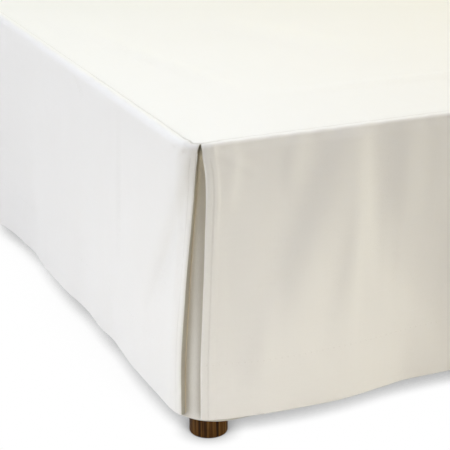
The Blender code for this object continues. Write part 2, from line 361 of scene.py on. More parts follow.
def woven_material(name, light, dark, roughness, sheen, pitch, thread_depth, paint_crevice_shade=True, painted_shade_top=0.0):
    """A plain weave. It can get painted shade in slits and folds, and at a top that another piece hides."""
    material, tree, shader = new_material(name)
    place = add_node(tree, "ShaderNodeUVMap", uv_map=CLOTH_MAP)
    parts = add_node(tree, "ShaderNodeSeparateXYZ", {"Vector": place.outputs[0]})
    along, down = parts.outputs["X"], parts.outputs["Y"]
    weft_streaks = streaks(tree, along, down, WEFT_LENGTHS, FINE, 3.0)
    warp_streaks = streaks(tree, along, down, FINE, WARP_LENGTHS, 3.0)
    clouds = streaks(tree, along, down, CLOUDS, CLOUDS, 2.0)
    threads = calculate(tree, "MULTIPLY", calculate(tree, "ADD", weft_streaks, warp_streaks), 0.5)
    tone = blended(tree, threads, clouds, THREAD_SHARE)
    mix = add_node(tree, "ShaderNodeMix", {0: tone, 6: dark, 7: light}, data_type="RGBA")  # 6, 7: its colours
    colour = mix.outputs[2]
    # Painted shade in slits and folds, from how open each spot is.
    if paint_crevice_shade:
        room = openness(tree, CREVICE_SHADE_REACH, CREVICE_SHADE_SAMPLES)
        colour = multiplied(tree, colour, colour_ramp(tree, room, PAINTED_CREVICE_SHADE_STOPS))
    # Painted shade: the colour darkens towards the seam over this much cloth, down to a small share of it.
    if painted_shade_top:
        colour = multiplied(tree, colour, remap(tree, down, 0.0, painted_shade_top, TOP_PAINTED_SHADE_BRIGHTNESS, 1.0))
    uneven = bumps(tree, threads, thread_depth * UNEVEN_DEPTH, UNEVEN_STRENGTH)
    weave = weave_height(tree, along, down, pitch)
    rough = (roughness + ROUGHNESS_SPREAD, roughness - ROUGHNESS_SPREAD)
    fill_inputs(tree, shader, {
        "Base Color": colour,
        "Normal": bumps(tree, weave, thread_depth, WEAVE_STRENGTH, Normal=uneven),
        "Roughness": remap(tree, threads, 0.0, 1.0, *rough),
        "Specular IOR Level": SPECULAR,
        "Sheen Weight": sheen,
        "Sheen Roughness": SHEEN_ROUGHNESS,
    })
    return material


COTTON = ((0.880, 0.868, 0.812, 1.0), (0.850, 0.836, 0.778, 1.0))  # light and dark threads
COTTON_LOOK = dict(roughness=0.86, sheen=0.10, pitch=0.0006, thread_depth=0.00006)
cotton = woven_material("white_cotton", *COTTON, **COTTON_LOOK)
# The inserts get painted shade at their top, where they lie deep in the slit under the seam.
insert_cotton_with_painted_shade = woven_material("insert_cotton_with_painted_shade", *COTTON, **COTTON_LOOK, painted_shade_top=0.020)
print("cotton:", len(cotton.node_tree.nodes), "nodes")

# %% [markdown]
# ## The shape that everything shares
#
# The faces are those of the solid model: straight drops, a rounded corner that opens out towards the hem, and
# long soft swells that grow downwards. The same sizes and short tables put the finer cloth where the solids
# are. All functions take whole arrays, so a grid of forty thousand points is as quick to write as a single
# one.

# %% Sizes of the skirt
BED_WIDTH = 0.9906
BED_LENGTH = 1.905
DROP = 0.3556
HEM_CLEARANCE = 0.0323
CENTRE_SHIFT = 0.0085  # the bed's middle lies this far behind the origin
SEAM_INSET = 0.012
SHOULDER_RADIUS = 0.009
TOP_CORNER_RADIUS = 0.036
HEM_CORNER_RADIUS = 0.058
FOLD_GROWTH = 1.25

HALF_WIDTH = BED_WIDTH / 2
HALF_LENGTH = BED_LENGTH / 2
TOP = HEM_CLEARANCE + DROP
FALL = DROP - SHOULDER_RADIUS
ROLL = SHOULDER_RADIUS * math.pi / 2  # cloth that goes round the shoulder
SHOULDER_END = SEAM_INSET - SHOULDER_RADIUS + ROLL
CUT_DROP = SHOULDER_END + FALL  # cloth from the seam down to the hem
print("cloth from seam to hem:", round(CUT_DROP, 4), "m")

# %% Tables of the large folds and of the split corners
Fold = namedtuple("Fold", "middle towards away reach lean")
CORNER_FOLD = (0.0, 0.1, 0.23, 0.006, 0.0)


def named_rows(kind, *table):
    """The rows of a table with their columns named."""
    return tuple(kind(*row) for row in table)


FOOT_FOLDS = named_rows(
    Fold,
    CORNER_FOLD,
    (0.19, 0.14, 0.095, 0.0046, 0.02),
    (0.32, 0.05, 0.06, 0.0026, 0.01),
    (0.47, 0.08, 0.11, 0.0055, -0.02),
    (0.575, 0.1, 0.08, 0.0062, -0.02),
    (0.7, 0.08, 0.09, 0.004, 0.01),
    (0.825, 0.13, 0.11, 0.0165, 0.02),
    (0.9906, 0.23, 0.1, 0.005, 0.0),
)
RIGHT_FOLDS = named_rows(
    Fold,
    CORNER_FOLD,
    (0.195, 0.17, 0.11, 0.0128, 0.04),
    (0.312, 0.045, 0.07, -0.003, 0.02),
    (0.545, 0.14, 0.15, 0.0095, -0.03),
    (0.84, 0.11, 0.13, 0.006, 0.03),
    (1.13, 0.15, 0.16, 0.0115, 0.02),
    (1.445, 0.12, 0.13, 0.0055, -0.02),
    (1.735, 0.14, 0.12, 0.009, 0.02),
)
LEFT_FOLDS = named_rows(
    Fold,
    CORNER_FOLD,
    (0.17, 0.13, 0.12, 0.009, -0.03),
    (0.43, 0.13, 0.11, 0.006, 0.02),
    (0.7, 0.13, 0.17, 0.0125, 0.03),
    (1.02, 0.12, 0.11, 0.005, -0.02),
    (1.29, 0.14, 0.15, 0.0105, 0.02),
    (1.62, 0.15, 0.14, 0.007, -0.03),
)

# For the right and the left corner: a share of the drop, and the distances from the diagonal at which the
# foot's flap and the side's flap end there.
SPLITS = {
    1: (
        (0.00, 0.0084, 0.0104),
        (0.04, 0.0044, 0.0146),
        (0.14, 0.0010, 0.0160),
        (0.40, -0.0089, 0.0122),
        (0.78, -0.0190, 0.0062),
        (1.00, -0.0192, 0.0060),
    ),
    -1: (
        (0.00, 0.0074, 0.0086),
        (0.05, 0.0046, 0.0110),
        (0.18, -0.0008, 0.0125),
        (0.50, -0.0085, 0.0120),
        (0.80, -0.0130, 0.0102),
        (1.00, -0.0150, 0.0095),
    ),
}
print(len(FOOT_FOLDS) + len(RIGHT_FOLDS) + len(LEFT_FOLDS), "folds")

# %% Where a point of the skirt's faces lies
def corner_radius(share):
    return TOP_CORNER_RADIUS + (HEM_CORNER_RADIUS - TOP_CORNER_RADIUS) * share


def corner_line(distance, radius, side):
    """Plan place and outward direction, at a distance along the hem from the foot corner's diagonal."""
    half_arc = radius * math.pi / 4
    angle = math.pi / 4 + np.clip(distance, -half_arc, half_arc) / radius
    out_x, out_y = np.sin(angle), -np.cos(angle)
    on_foot = np.minimum(distance + half_arc, 0.0)
    on_side = np.maximum(distance - half_arc, 0.0)
    x = HALF_WIDTH - radius + radius * out_x + on_foot
    y = radius - HALF_LENGTH + radius * out_y + on_side
    return side * x, y, side * out_x, out_y


def to_face(distance, share):
    """A distance from the diagonal as one from the face round the corner."""
    return distance + corner_radius(share) * (1 - math.pi / 4)


def to_diagonal(from_face, share):
    return from_face - corner_radius(share) * (1 - math.pi / 4)


def swell(offset, towards, away):
    width = np.where(offset < 0, towards, away)
    return np.where(np.abs(offset) < width, 0.5 + 0.5 * np.cos(np.pi * offset / width), 0.0)


def fold_depth(folds, along, share):
    depth = np.zeros_like(along)
    for fold in folds:
        offset = along - fold.middle - fold.lean * (1 - share)
        depth += fold.reach * swell(offset, fold.towards, fold.away)
    return depth * np.maximum(share, 0.0) ** FOLD_GROWTH


def smooth_step(value):
    value = np.clip(value, 0.0, 1.0)
    return value * value * (3 - 2 * value)


def hump(value, middle, width):
    return np.exp(-(((value - middle) / width) ** 2))


def drape(down, seam_inset=SEAM_INSET, depth=0.0):
    """Inset, height, share of the drop and tilt of a sheet that goes over the shoulder and hangs."""
    radius = SHOULDER_RADIUS - depth
    flat = seam_inset - SHOULDER_RADIUS
    turned = np.clip((down - flat) / radius, 0.0, math.pi / 2)
    inset = SHOULDER_RADIUS - radius * np.sin(turned) + np.maximum(flat - down, 0.0)
    fallen = np.maximum(down - flat - radius * math.pi / 2, 0.0)
    height = TOP - SHOULDER_RADIUS + radius * np.cos(turned) - fallen
    return inset, height, fallen / FALL, math.pi / 2 - turned


# At the split nothing pulls the seam back, so it slips over the edge there.
SEAM_SLIP = 0.0062
SLIP_ON_FOOT = 0.009
SLIP_ON_SIDE = 0.030
SLIP_FADES = 0.040  # cloth below the seam that gives way to the slip


def seam_slip(distance, down):
    width = np.where(distance < 0, SLIP_ON_FOOT, SLIP_ON_SIDE)
    return SEAM_SLIP * hump(distance, 0.0, width) * (1 - smooth_step(down / SLIP_FADES))


print("corner at the hem:", [round(float(v), 4) for v in corner_line(0.0, HEM_CORNER_RADIUS, 1)[:2]])

# %% [markdown]
# ## The edges of the split
#
# Two flaps meet on the shoulder and part below it. A table gives each edge at a few heights. Straight lines
# between them would show as kinks, so the edge is read a little above and below and averaged. Near the seam
# both edges run together. Each edge is a fold: the cloth turns a small round and goes straight in, almost as
# far as the insert. That shows as a shaded band, in part real shade and in part painted shade and painted
# warm bounce light.

# %% Flap edges
EDGE_SOFTENING = np.linspace(-0.05, 0.05, 7)
MEETING = 0.0015  # cloth below the seam over which the flaps still touch
PARTING = 0.014  # and over which they open to the table's width
MEETING_GAP = 0.0002


def flap_edge(side, share, down, flap):
    """Distance from the corner's diagonal at which a flap ends."""
    shares, *edges = zip(*SPLITS[side])
    near = [share + shift for shift in EDGE_SOFTENING]
    foot_edge, side_edge = (np.mean([np.interp(at, shares, edge) for at in near], axis=0) for edge in edges)
    middle = (foot_edge + side_edge) / 2
    apart = (side_edge if flap == "side_flap" else foot_edge) - middle
    closed = MEETING_GAP / 2 * np.sign(apart)
    open_share = smooth_step((down - MEETING) / PARTING)
    return middle + closed + (apart - closed) * open_share


RETURN_RADIUS = 0.0010  # of the round by which the cloth turns in
RETURN_CLEARANCE = 0.0012  # from the cloth that is turned in to the insert
INSERT_DEPTH = 0.0033  # behind the drops' outer faces
INSERT_CORNER_RADIUS = 0.060


def slit_depth(distance, share):
    """How far the insert lies behind a drop's face without folds, straight inwards."""
    radius = corner_radius(share)
    angle = math.pi / 4 + distance / radius
    rounder = (INSERT_CORNER_RADIUS - radius) * (np.cos(angle) + np.sin(angle) - 1)
    return rounder + INSERT_DEPTH


def edge_return(from_edge):
    """How far the cloth past a folded edge has gone sideways and inwards."""
    past = np.maximum(-from_edge, 0.0)
    turned = np.minimum(past / RETURN_RADIUS, math.pi / 2)
    straight = np.maximum(past - RETURN_RADIUS * math.pi / 2, 0.0)
    return RETURN_RADIUS * np.sin(turned), RETURN_RADIUS * (1 - np.cos(turned)) + straight


for share in (0.0, 0.5, 1.0):
    down = SHOULDER_END + share * FALL
    gap = flap_edge(1, share, down, "side_flap") - flap_edge(1, share, down, "foot_flap")
    print("split at share", share, "is", round(float(gap) * 1000, 1), "mm wide")

# %% [markdown]
# ## Fine relief: pressed creases, drags and unevenness
#
# Cloth that was folded in a packet keeps its pressed creases, here 23 cm from the corner on both faces. Cloth
# that hangs from a corner also drags: shallow troughs run down from the corner's top. A simulation gives such
# marks too, but not where the photograph has them, so each is a soft trough or ridge, given one by one.

# %% Marks on a sheet
# A mark runs from one place to another, both given as metres along the hem and down from the seam. bend moves
# its middle sideways, and a negative height makes it a trough. Its slope towards the corner is "near" wide
# and the one away from it "far" wide. A pressed mark comes to an edge, and the others are round.
Mark = namedtuple(
    "Mark", "from_along from_down to_along to_down near far height bend pressed", defaults=(0.0, False)
)
PRESSED_EDGE = 1.15
MARK_FADE = 0.7


def marks_relief(marks, along, down):
    relief = np.zeros(np.broadcast(along, down).shape)
    for mark in marks:
        run = np.array((mark.to_along - mark.from_along, mark.to_down - mark.from_down))
        length = np.hypot(*run)
        forward = run / length
        beside = (along - mark.from_along, down - mark.from_down)
        share = (beside[0] * forward[0] + beside[1] * forward[1]) / length
        off = beside[0] * forward[1] - beside[1] * forward[0] - mark.bend * 4 * share * (1 - share)
        fade = np.sin(np.pi * np.clip(share, 0.0, 1.0)) ** MARK_FADE
        width = np.where(off < 0, mark.near, mark.far)
        relief += mark.height * fade * np.exp(-(np.abs(off / width) ** (PRESSED_EDGE if mark.pressed else 2)))
    return relief


def unevenness(along, down, seed, waves=26, shortest=0.05, longest=0.30, upright=0.45):
    """A smooth random relief of about 1 in size. Its waves lie mostly upright, as hanging cloth has them."""
    draw = np.random.RandomState(seed)
    relief = np.zeros(np.broadcast(along, down).shape)
    for _ in range(waves):
        turns = 2 * np.pi / draw.uniform(shortest, longest)
        lean = draw.normal(0.0, upright)
        phase = draw.uniform(0.0, 2 * np.pi)
        relief += np.sin(turns * (along * math.cos(lean) + down * math.sin(lean)) + phase)
    return relief / math.sqrt(waves / 2) / 2


def ripple(along, seed, shortest=0.008, longest=0.035, waves=14):
    """A smooth random line, such as the gathers of a seam."""
    return unevenness(along, np.zeros_like(along), seed, waves, shortest, longest, 0.0)


FOOT_MARKS = named_rows(
    Mark,
    (0.226, 0.004, 0.243, 0.26, 0.026, 0.004, -0.0019, 0.0, True),
    (-0.024, 0.004, 0.136, 0.272, 0.046, 0.015, -0.0048),
    (0.026, 0.07, 0.036, 0.23, 0.005, 0.009, -0.0016),
    (0.408, 0.016, 0.366, 0.04, 0.004, 0.004, -0.0012, 0.003),
    (0.012, 0.013, 0.03, 0.03, 0.0022, 0.0022, -0.0009),
    (0.022, 0.011, 0.052, 0.024, 0.0025, 0.0025, -0.0008),
    (0.56, 0.018, 0.52, 0.12, 0.012, 0.016, -0.0007, 0.006),
    (0.03, 0.325, 0.052, 0.352, 0.004, 0.004, -0.0007),
)
RIGHT_MARKS = named_rows(
    Mark,
    (0.24, -0.06, 0.092, 0.33, 0.03, 0.056, 0.0064, 0.004),
    (0.15, -0.06, 0.06, 0.3, 0.05, 0.1, 0.0034),
    (0.14, -0.01, 0.13, 0.08, 0.012, 0.016, 0.002),
    (0.223, -0.06, 0.217, 0.33, 0.028, 0.008, 0.0018, 0.0, True),
    (0.234, 0.08, 0.192, 0.3, 0.014, 0.02, 0.0018),
    (0.238, -0.07, 0.258, 0.225, 0.0115, 0.024, -0.0023),
    (0.274, 0.06, 0.276, 0.345, 0.003, 0.016, -0.0006, 0.0, True),
    (0.255, 0.15, 0.42, 0.375, 0.026, 0.042, -0.0022),
    (0.372, 0.19, 0.38, 0.42, 0.042, 0.03, -0.0028),
    (0.3, -0.02, 0.292, 0.14, 0.022, 0.03, 0.003),
    (0.346, -0.01, 0.34, 0.15, 0.02, 0.022, 0.002),
    (0.386, 0.04, 0.374, 0.22, 0.016, 0.02, 0.002),
    (0.04, 0.08, 0.044, 0.42, 0.023, 0.03, -0.0056),
    (0.108, 0.19, 0.084, 0.32, 0.013, 0.013, 0.0017),
    (0.19, 0.345, 0.12, 0.25, 0.011, 0.018, 0.0007),
    (0.064, -0.004, 0.05, 0.095, 0.013, 0.009, 0.0014),
    (0.03, 0.014, 0.09, 0.05, 0.006, 0.006, 0.0007),
)


CREASE_EVERY = 0.2445


def hidden_marks(seed, first, last):
    """Pressed creases and drags on a stretch that the photograph doesn't show, in the same measure."""
    draw = np.random.RandomState(seed)
    marks = []
    for place in np.arange(first, last, CREASE_EVERY):
        marks.append(Mark(place, 0.008, place + 0.012, 0.240, 0.008, 0.012, 0.0008, 0.0, True))
        start = place + draw.uniform(0.04, 0.20)
        lean = draw.uniform(-0.09, 0.09)
        height = draw.choice((-1, 1)) * draw.uniform(0.0010, 0.0026)
        end = draw.uniform(0.15, 0.32)
        marks.append(Mark(start, 0.0, start + lean, end, 0.014, 0.030, height, lean / 8))
    return tuple(marks)


print(len(FOOT_MARKS) + len(RIGHT_MARKS), "marks placed by hand")

# %% [markdown]
# ## Seam, hems and stitches as relief
#
# Where the deck and a drop are sewn together, both sheets dive into the seam and the drop rolls up beside it.
# The roll hides the seam from the side but not from the foot, as in the photograph. Below, the cloth is
# turned up three inches at the hem and over half an inch along the flaps. The doubled cloth stands a little
# proud.

# %% Relief of the sewing
SEAM_DIVE = 0.0005
CORNER_DIVE = 0.0008  # and so much more at the foot corners
CORNER_DIVE_WIDTH = 0.045
SEAM_WIDTH = 0.0016
SEAM_TIGHT = 0.33  # from a foot corner to where the seam starts to loosen
SEAM_LOOSENS = 0.05  # and from there to where only a share of its dive is left
SEAM_LEFT = 0.12
ROLL_RISE, ROLL_MIDDLE, ROLL_WIDTH, ROLL_GATHERS = 0.0009, 0.006, 0.005, 0.35
PUCKER_RISE, PUCKER_MIDDLE, PUCKER_WIDTH = 0.00035, 0.012, 0.010
HEM_DEPTH = 0.076
HEM_STEP = 0.00010
HEM_EDGE = 0.0016  # cloth over which the step rises
FLAP_HEM = 0.0155
FLAP_HEM_EDGE = 0.0014
TOPSTITCH_INSET = 0.0078
TOPSTITCH_GROOVE = 0.0009
GROOVE_GROWS, GROOVE_STARTS = 0.03, 0.4  # cloth over which it deepens, and the share of that above it
EDGE_TURN = 0.0011
EDGE_DEPTH = 0.0006


def seam_depth(along):
    """How far the cloth dives into the seam, at a distance along it from a foot corner."""
    closed = 1 - (1 - SEAM_LEFT) * smooth_step((along - SEAM_TIGHT) / SEAM_LOOSENS)
    return SEAM_DIVE * closed + CORNER_DIVE * hump(along, 0.0, CORNER_DIVE_WIDTH)


def turned_hem(above_hem):
    """The step where the turned-up hem begins."""
    return HEM_STEP * smooth_step(0.5 - above_hem / HEM_EDGE)


def sewing_relief(down, from_edge, along, seed, sink):
    gathers = ripple(along, seed)
    dive = -seam_depth(along) * hump(down, 0.0, SEAM_WIDTH)
    roll = ROLL_RISE * hump(down, ROLL_MIDDLE, ROLL_WIDTH) * (1 + ROLL_GATHERS * gathers)
    pucker = PUCKER_RISE * gathers * hump(down, PUCKER_MIDDLE, PUCKER_WIDTH)
    turned_up = turned_hem(CUT_DROP - HEM_DEPTH - down)
    beside_hem = sink * smooth_step(0.5 + (FLAP_HEM - from_edge) / FLAP_HEM_EDGE)
    groove = hump(from_edge, TOPSTITCH_INSET, TOPSTITCH_GROOVE)
    sunk = -sink * groove * smooth_step(down / GROOVE_GROWS - GROOVE_STARTS)
    to_border = np.minimum(from_edge, CUT_DROP - down)
    rounding = -EDGE_DEPTH * (1 - smooth_step(to_border / EDGE_TURN))
    return dive + roll + pucker + turned_up + beside_hem + sunk + rounding


print("hem", HEM_DEPTH, "m deep, flap hem", FLAP_HEM, "m")

# %% [markdown]
# ## From arrays to a sheet
#
# A sheet starts as a grid of points, a row for each distance down from the seam and a column for each
# distance along the hem, closer together at the flap's edge. Solidify gives the cloth its thickness, and a
# small bevel rounds the cut border.

# %% Making a sheet object
CLOTH_THICKNESS = 0.0011


def spaced(*stretches):
    """Distances from 0 that grow by each stretch's step until its end."""
    places = [0.0]
    for end, step in stretches:
        count = max(1, round((end - places[-1]) / step))
        places.extend(np.linspace(places[-1], end, count + 1)[1:])
    return np.array(places)


def mesh_object(name, points, faces, material):
    mesh = bpy.data.meshes.new(name)
    mesh.from_pydata(points.reshape(-1, 3).tolist(), [], faces)
    mesh.materials.append(material)
    mesh.shade_smooth()
    return new_object(name, mesh)


def set_cloth_map(obj, places):
    layer = obj.data.uv_layers.new(name=CLOTH_MAP)
    layer.uv.foreach_set("vector", places.astype(np.float32).ravel())


def put_in_place(obj, node=None):
    """A piece rides on the part's one body, in place of a solid where it has one."""
    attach(obj, "root")
    if node:
        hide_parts(node)
    return obj


def sheet_object(name, node, points, map_places, material):
    """A piece of cloth from arrays of shape (rows, columns, 3) and (rows, columns, 2)."""
    rows, columns = points.shape[:2]
    first = (np.arange(rows - 1)[:, None] * columns + np.arange(columns - 1)).ravel()
    quads = np.stack((first, first + columns, first + columns + 1, first + 1), axis=1)
    obj = mesh_object(name, points, quads.tolist(), material)
    set_cloth_map(obj, map_places.reshape(-1, 2)[quads.ravel()])
    solidify = obj.modifiers.new("thickness", "SOLIDIFY")
    solidify.thickness = CLOTH_THICKNESS
    solidify.offset = -1.0
    bevel = obj.modifiers.new("soft border", "BEVEL")
    bevel.width = CLOTH_THICKNESS * 0.4
    bevel.segments = 2
    bevel.limit_method = "ANGLE"
    bevel.angle_limit = math.radians(60)
    print(name, rows, "by", columns, "points")
    return put_in_place(obj, node)


ROW, FINE_ROW = 0.0042, 0.0010  # from one row of points to the next


def rows_to_hem(hem, *top, above=0.004):
    """Rows down to a hem, close together where it is turned up and at its border."""
    edge = hem - HEM_DEPTH
    return spaced(*top, (edge - above, ROW), (edge + 0.004, FINE_ROW), (hem - 0.004, ROW), (hem, FINE_ROW))


DOWN_ROWS = rows_to_hem(CUT_DROP, (0.004, FINE_ROW), (0.016, FINE_ROW / 2), (0.020, FINE_ROW))
print(len(DOWN_ROWS), "rows from seam to hem")

# %% [markdown]
# ## The drops
#
# The foot drop is one panel with a flap round half of each corner, and a side drop has one flap and runs on
# to the head. A point of either is named by its distance from a corner's diagonal and from the seam. One
# function turns the two into a place and an outward direction, for the sheets and for their stitches.

# %% A point on a drop
# shoulder is the radius over which a drop lies on its border, and sink is how deep its topstitches pull.
Panel = namedtuple("Panel", "name flap folds marks seed shoulder sink")

FOOT_MARKS += hidden_marks(5, 0.82, 0.90)
RIGHT_MARKS += hidden_marks(7, 0.465, 1.85)
LEFT_MARKS = hidden_marks(9, 0.225, 1.85)
FOOT = Panel("foot_drop", "foot_flap", FOOT_FOLDS, FOOT_MARKS, 11, 0.0090, 0.00014)
RIGHT = Panel("side_drop_right", "side_flap", RIGHT_FOLDS, RIGHT_MARKS, 23, 0.0035, 0.00048)
LEFT = Panel("side_drop_left", "side_flap", LEFT_FOLDS, LEFT_MARKS, 37, 0.0035, 0.00048)
UNEVENNESS = 0.00045
UNEVEN_GROWS = 0.06  # cloth below the seam over which it comes to its full height
MARKS_START = 0.004  # cloth below the seam that no mark reaches
MARKS_GROW = 0.018  # and over which they then come to their full height
TIGHTENING = 0.050  # from the corner, along the hem, to where a side drop lies tight over the shoulder


def tight_shoulder(tilt, radius):
    """How far a tighter round edge stands out of the wide one, in its outward direction."""
    across, up = np.cos(tilt), np.sin(tilt)
    shift = SHOULDER_RADIUS - radius
    straight = SHOULDER_RADIUS / np.maximum(across, up)
    onto = shift * (across + up)
    round_edge = onto + np.sqrt(np.maximum(onto**2 - 2 * shift**2 + radius**2, 0.0))
    return np.where(np.minimum(across, up) * straight <= shift, straight, round_edge) - SHOULDER_RADIUS


def away(panel):
    """The sign of a distance from the diagonal that lies on the panel's face."""
    return -1 if panel.flap == "foot_flap" else 1


def counted(panel, side, along):
    """A distance from the corner's face, on the foot drop always from the right corner."""
    return BED_WIDTH - along if panel.flap == "foot_flap" and side < 0 else along


def marks_on(panel, along, down):
    return marks_relief(panel.marks, along, down) * smooth_step((down - MARKS_START) / MARKS_GROW)


def place_off(corner, inset, height, tilt, lift, depth=0.0):
    """Places on a corner's line that stand off the drape by a depth outwards and a lift along its facing."""
    x, y, out_x, out_y = corner
    out = depth - inset + lift * np.cos(tilt)
    return np.stack((x + out * out_x, y + CENTRE_SHIFT + out * out_y, height + lift * np.sin(tilt)), -1)


def panel_surface(panel, side, distance, down, from_edge):
    """Places, outward directions and distance along the hem of points on a drop's outer face."""
    distance, down, from_edge = np.broadcast_arrays(distance, down, from_edge)
    inset, height, share, tilt = drape(down + seam_slip(distance, down))
    along = counted(panel, side, to_face(away(panel) * distance, share))
    folded = counted(panel, side, to_face(np.abs(distance), share))
    corner = corner_line(distance, corner_radius(share), side)
    lift = marks_on(panel, along, down)
    lift += UNEVENNESS * unevenness(along, down, panel.seed) * smooth_step(down / UNEVEN_GROWS)
    lift += sewing_relief(down, from_edge, along, panel.seed + 1, panel.sink)
    lift += tight_shoulder(tilt, panel.shoulder) * smooth_step(np.abs(distance) / TIGHTENING)
    lift -= edge_return(from_edge)[1]
    places = place_off(corner, inset, height, tilt, lift, fold_depth(panel.folds, folded, share))
    facing = np.stack((np.cos(tilt) * corner[2], np.cos(tilt) * corner[3], np.sin(tilt)), -1)
    return places, facing, along


def place_of(panel, side, from_edge, down, length):
    """Distance from the diagonal at a distance from the flap's edge, on a panel of that length."""
    share, sign = drape(down)[2], away(panel)
    edge = flap_edge(side, share, down, panel.flap) + sign * RETURN_RADIUS
    far = sign * to_diagonal(length, share)
    past_edge = edge_return(from_edge)[0]
    return edge + (far - edge) * np.maximum(from_edge, 0.0) / length - sign * past_edge


RETURN_SHARES = np.array((1.0, 0.8, 0.6, 0.42, 0.30, 0.21, 0.14, 0.07))
RETURN_START = 0.008  # cloth below the seam that has none turned in
RETURN_GROW = 0.060
EDGE_STEPS = ((0.014, 0.001), (0.040, 0.002), (0.120, 0.004))
FACE_STEP = 0.0065


def with_return(panel, side, steps, down):
    """Distances from the flap's edge for each row, with those of the cloth that is turned in."""
    share = drape(down)[2]
    distance = flap_edge(side, share, down, panel.flap)
    along = counted(panel, side, to_face(np.abs(distance), share))
    folds = fold_depth(panel.folds, along, share)
    inwards = slit_depth(distance, share) + folds + marks_on(panel, along, down)
    inwards += (math.pi / 2 - 1) * RETURN_RADIUS - RETURN_CLEARANCE
    width = np.maximum(inwards, 2 * RETURN_RADIUS) * smooth_step((down - RETURN_START) / RETURN_GROW)
    steps = np.concatenate((-RETURN_SHARES, steps))[None, :]
    return np.where(steps < 0, steps * width, steps + 0 * down)


print("panels:", FOOT.name, RIGHT.name, LEFT.name)

# %% The foot drop
def flap_grid(panel, side, length, steps, order, far_border):
    """Places of a grid from a flap's edge on, and its places on the flat cloth."""
    down = DOWN_ROWS[:, None]
    from_edge = with_return(panel, side, steps, down)[:, ::order]
    distance = place_of(panel, side, from_edge, down, length)
    border = np.minimum(from_edge, length - from_edge) if far_border else from_edge
    places, _, along = panel_surface(panel, side, distance, down, border)
    return places, np.stack((along, down + 0 * along), -1)


def make_foot_drop():
    steps = spaced(*EDGE_STEPS, (HALF_WIDTH, FACE_STEP))
    left, right = (flap_grid(FOOT, side, HALF_WIDTH, steps, -side, False) for side in (-1, 1))
    whole = [np.concatenate((first[:, :-1], second), axis=1) for first, second in zip(left, right)]
    return sheet_object(FOOT.name, "foot_panel", *whole, cotton)


foot_drop = make_foot_drop()

# %% The side drops
def make_side_drop(panel, side, node):
    steps = spaced(*EDGE_STEPS, (BED_LENGTH - 0.016, FACE_STEP), (BED_LENGTH, 0.001))
    return sheet_object(panel.name, node, *flap_grid(panel, side, BED_LENGTH, steps, side, True), cotton)


side_drop_right = make_side_drop(RIGHT, 1, "side_panel_right")
side_drop_left = make_side_drop(LEFT, -1, "side_panel_left")

# %% [markdown]
# ## The inserts
#
# The insert is sewn into the same seam but hangs plumb behind the flaps, so the split is deep at its top and
# shallow at the hem. That is why it is darkest just under the seam, where painted shade also darkens its
# colour.

# %% The inserts behind the splits
INSERT_HALF_WIDTH = 0.075
INSERT_STEP = 0.0022
INSERT_UNEVENNESS = 0.0004
INSERT_SEAM_INSET = 0.0105
INSERT_LOWER = 0.0058  # way by which it falls further than a drop
INSERT_ROLL = (SHOULDER_RADIUS - INSERT_DEPTH) * math.pi / 2
INSERT_CUT = INSERT_SEAM_INSET - SHOULDER_RADIUS + INSERT_ROLL + FALL + INSERT_LOWER
INSERT_MARKS = named_rows(
    Mark,
    (0.002, 0.006, 0.01, 0.05, 0.004, 0.004, 0.0018),
    (0.01, 0.03, 0.002, 0.25, 0.006, 0.006, -0.001),
    (-0.038, 0.02, -0.076, 0.31, 0.03, 0.03, -0.0026),
)


def make_insert(side, name, node):
    down = rows_to_hem(INSERT_CUT, (0.010, FINE_ROW), above=0.002)
    across = side * (spaced((2 * INSERT_HALF_WIDTH, INSERT_STEP)) - INSERT_HALF_WIDTH)
    distance, down = np.broadcast_arrays(across[None, :], down[:, None])
    inset, height, _, tilt = drape(down, INSERT_SEAM_INSET, INSERT_DEPTH)
    lift = marks_relief(INSERT_MARKS, distance, down) + turned_hem(INSERT_CUT - HEM_DEPTH - down)
    lift += INSERT_UNEVENNESS * unevenness(distance, down, 50 + side)
    places = place_off(corner_line(distance, INSERT_CORNER_RADIUS, side), inset, height, tilt, lift)
    return sheet_object(name, node, places, np.stack((distance, down), -1), insert_cotton_with_painted_shade)


insert_right = make_insert(1, "insert_right", "corner_insert_right")
insert_left = make_insert(-1, "insert_left", "corner_insert_left")

# %% [markdown]
# ## The deck
#
# The deck lies flat on the base. Its border dives into the seam, its foot corners are round, and a few long
# soft creases cross it where it was folded. A rounded outline is made by narrowing the first rows of a plain
# grid.

# %% The deck
DECK_INSET = SEAM_INSET + 0.0001
DECK_CORNER = TOP_CORNER_RADIUS - DECK_INSET
DECK_BORDER_STEPS = ((0.006, 0.0010), (0.024, 0.0022))
DECK_STEP = 0.012
DECK_UNEVENNESS = 0.0005
DECK_FLAT_BORDER = 0.05  # from the seam, over which its relief grows
DECK_MARKS = named_rows(
    Mark,
    (0.68, 0.08, 0.18, 0.158, 0.008, 0.014, 0.0026),
    (0.176, 0.13, 0.16, 0.85, 0.012, 0.008, 0.0028),
    (0.76, 0.045, 0.52, 0.04, 0.012, 0.012, -0.002),
    (0.62, 0.29, 0.3, 0.42, 0.04, 0.04, 0.003),
)
PACKET_CREASES = (
    (0.495, 0.020, 0.495, 1.800),
    (0.248, 0.200, 0.248, 1.850),
    (0.743, 0.100, 0.743, 1.800),
    (0.040, 0.635, 0.950, 0.635),
    (0.040, 1.270, 0.950, 1.270),
)
DECK_MARKS += named_rows(Mark, *(line + (0.003, 0.003, 0.0003) for line in PACKET_CREASES))


def round_corner(across, from_foot):
    """Distance from the sides, and how far a point of the deck lies within the corner's round, both ways."""
    to_side = HALF_WIDTH - DECK_INSET - np.abs(across)
    return to_side, np.maximum(DECK_CORNER - to_side, 0.0), np.maximum(DECK_CORNER - from_foot, 0.0)


def deck_border(across, from_foot):
    """Distance from the seam, for a point of the deck."""
    to_side, round_x, round_y = round_corner(across, from_foot)
    in_corner = (round_x > 0) & (round_y > 0)
    return np.where(in_corner, DECK_CORNER - np.hypot(round_x, round_y), np.minimum(to_side, from_foot))


